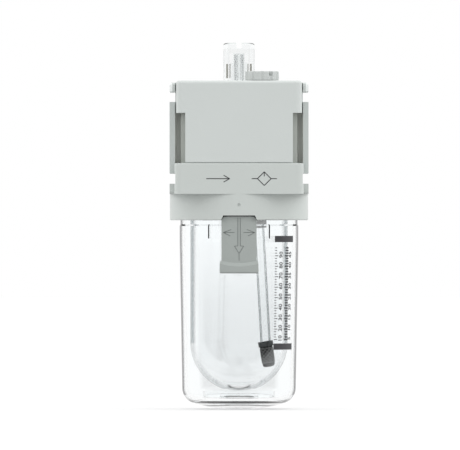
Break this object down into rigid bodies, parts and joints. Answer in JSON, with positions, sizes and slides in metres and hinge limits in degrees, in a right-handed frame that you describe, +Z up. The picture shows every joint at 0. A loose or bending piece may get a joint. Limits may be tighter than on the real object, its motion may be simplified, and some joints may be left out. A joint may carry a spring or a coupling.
{
  "type": "air line lubricator",
  "caption": "Modular air line lubricator: ported square body with sight dome and refill plug, above a clear guarded oil bowl with a lock button.",
  "frame": {"origin": "on the bowl's axis, level with the lowest point of the bowl guard", "axes": "+X along the air flow from inlet to outlet, -Y the front with the lock button, +Z up"},
  "size_m": [0.053, 0.053, 0.1403],
  "materials": {
    "body_paint": "satin painted die casting",
    "insert_plastic": "natural moulded plastic",
    "seal_rubber": "black seal rubber",
    "plated_steel": "plated steel",
    "spring_steel": "bright spring steel",
    "ball_steel": "polished steel ball",
    "clear_tube": "clear tube",
    "clear_drip_tube": "clear moulded plastic",
    "clear_guard": "clear polycarbonate",
    "clear_bowl": "clear polycarbonate",
    "clear_dome": "clear polycarbonate",
    "ferrule_plastic": "moulded plastic",
    "sintered_metal": "dark sintered strainer",
    "button_plastic": "grey moulded plastic",
    "plug_plastic": "grey moulded plastic",
    "damper_rubber": "black rubber flap"
  },
  "bodies": {
    "casting": {"body": "body_paint", "flow_insert": "insert_plastic", "insert_o_ring": "seal_rubber", "insert_neck_o_ring": "seal_rubber", "insert_screws": "plated_steel", "suction_tube": "clear_tube", "strainer_ferrule": "ferrule_plastic", "strainer": "sintered_metal", "damper_pin": "plated_steel", "drip_tube": "clear_drip_tube"},
    "bowl": {"bowl_guard": "clear_guard", "inner_bowl": "clear_bowl", "bowl_o_ring": "seal_rubber", "lock_spring": "spring_steel"},
    "button": {"lock_button": "button_plastic"},
    "dome": {"sight_dome": "clear_dome", "dome_o_ring": "seal_rubber", "dome_clip": "spring_steel"},
    "plug_ring": {"plug_o_ring": "seal_rubber"},
    "plug": {"refill_plug": "plug_plastic"},
    "ball": {"check_ball": "ball_steel"},
    "flap": {"damper": "damper_rubber"}
  },
  "joints": [
    {"name": "bowl_twist", "type": "hinge", "parent": "casting", "child": "bowl", "pos_m": [0, 0, 0.0724], "axis": [0, 0, 1], "range_deg": [-45, 45]},
    {"name": "lock_press", "type": "slide", "parent": "bowl", "child": "button", "axis": [0, 0, -1], "range_m": [0, 0.003], "stiffness_N_per_m": 150, "springref_m": -0.002, "deforming": ["lock_spring"]},
    {"name": "dome_turn", "type": "hinge", "parent": "casting", "child": "dome", "pos_m": [0, 0, 0.12565], "axis": [0, 0, 1], "range_deg": [0, 300]},
    {"name": "plug_lift", "type": "slide", "parent": "casting", "child": "plug_ring", "axis": [0, 0, 1], "range_m": [0, 0.006]},
    {"name": "plug_turn", "type": "hinge", "parent": "plug_ring", "child": "plug", "pos_m": [0.0088, -0.0098, 0.12565], "axis": [0, 0, 1], "range_deg": [0, 1440]},
    {"name": "ball_lift", "type": "slide", "parent": "casting", "child": "ball", "axis": [-0.0574, 0, 0.9984], "range_m": [0, 0.001]},
    {"name": "damper_swing", "type": "hinge", "parent": "casting", "child": "flap", "pos_m": [0, 0, 0.1081], "axis": [0, -1, 0], "range_deg": [0, 60]}
  ],
  "couplings": [
    {"joint": "plug_turn", "follows": "plug_lift", "rad_per_m": 4188.7}
  ]
}
